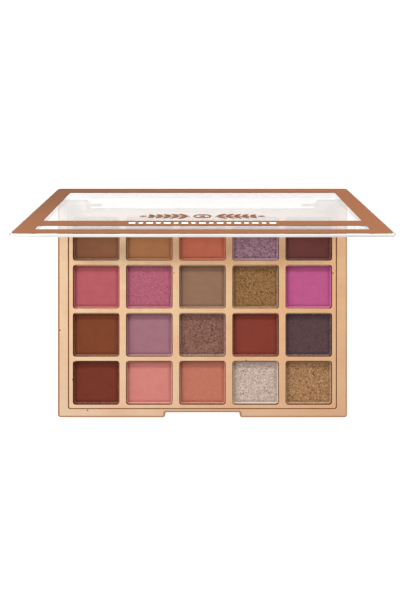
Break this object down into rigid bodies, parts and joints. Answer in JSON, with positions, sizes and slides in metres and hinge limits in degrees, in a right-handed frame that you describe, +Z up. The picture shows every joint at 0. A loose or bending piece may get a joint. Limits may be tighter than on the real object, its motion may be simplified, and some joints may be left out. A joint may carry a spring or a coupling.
{
  "type": "eyeshadow palette",
  "caption": "Flat rectangular makeup palette with square pans of pressed powder in a gold base, and a clear lid on a rear hinge.",
  "frame": {"origin": "centre of the base's flat underside", "axes": "+X to the right seen from the front, +Y towards the hinge, +Z up from the table"},
  "size_m": [0.1622, 0.1273, 0.1196],
  "materials": {
    "gold_shell": "gloss",
    "gold_insert": "gloss",
    "pan_aluminium": "satin",
    "clear_plastic": "polished",
    "copper_foil": "satin",
    "pin_steel": "gloss",
    "label_paper": "matte",
    "powder_r1_c1": "matte",
    "powder_r1_c2": "matte",
    "powder_r1_c3": "matte",
    "powder_r1_c4": "satin",
    "powder_r1_c5": "matte",
    "powder_r2_c1": "matte",
    "powder_r2_c2": "satin",
    "powder_r2_c3": "matte",
    "powder_r2_c4": "satin",
    "powder_r2_c5": "matte",
    "powder_r3_c1": "matte",
    "powder_r3_c2": "matte",
    "powder_r3_c3": "satin",
    "powder_r3_c4": "matte",
    "powder_r3_c5": "satin",
    "powder_r4_c1": "matte",
    "powder_r4_c2": "matte",
    "powder_r4_c3": "satin",
    "powder_r4_c4": "satin",
    "powder_r4_c5": "satin"
  },
  "bodies": {
    "base": {"base_shell": "gold_shell", "pan_tray": "gold_insert", "pan_r1_c1": "pan_aluminium", "powder_r1_c1": "powder_r1_c1", "pan_r1_c2": "pan_aluminium", "powder_r1_c2": "powder_r1_c2", "pan_r1_c3": "pan_aluminium", "powder_r1_c3": "powder_r1_c3", "pan_r1_c4": "pan_aluminium", "powder_r1_c4": "powder_r1_c4", "pan_r1_c5": "pan_aluminium", "powder_r1_c5": "powder_r1_c5", "pan_r2_c1": "pan_aluminium", "powder_r2_c1": "powder_r2_c1", "pan_r2_c2": "pan_aluminium", "powder_r2_c2": "powder_r2_c2", "pan_r2_c3": "pan_aluminium", "powder_r2_c3": "powder_r2_c3", "pan_r2_c4": "pan_aluminium", "powder_r2_c4": "powder_r2_c4", "pan_r2_c5": "pan_aluminium", "powder_r2_c5": "powder_r2_c5", "pan_r3_c1": "pan_aluminium", "powder_r3_c1": "powder_r3_c1", "pan_r3_c2": "pan_aluminium", "powder_r3_c2": "powder_r3_c2", "pan_r3_c3": "pan_aluminium", "powder_r3_c3": "powder_r3_c3", "pan_r3_c4": "pan_aluminium", "powder_r3_c4": "powder_r3_c4", "pan_r3_c5": "pan_aluminium", "powder_r3_c5": "powder_r3_c5", "pan_r4_c1": "pan_aluminium", "powder_r4_c1": "powder_r4_c1", "pan_r4_c2": "pan_aluminium", "powder_r4_c2": "powder_r4_c2", "pan_r4_c3": "pan_aluminium", "powder_r4_c3": "powder_r4_c3", "pan_r4_c4": "pan_aluminium", "powder_r4_c4": "powder_r4_c4", "pan_r4_c5": "pan_aluminium", "powder_r4_c5": "powder_r4_c5", "hinge_pin_left": "pin_steel", "hinge_pin_right": "pin_steel", "base_label": "label_paper"},
    "lid": {"clear_lid": "clear_plastic", "lid_print": "copper_foil"}
  },
  "joints": [
    {"name": "lid_hinge", "type": "hinge", "parent": "base", "child": "lid", "pos_m": [0, 0.05785, 0.0046], "axis": [-1, 0, 0], "range_deg": [-73, 27]}
  ]
}
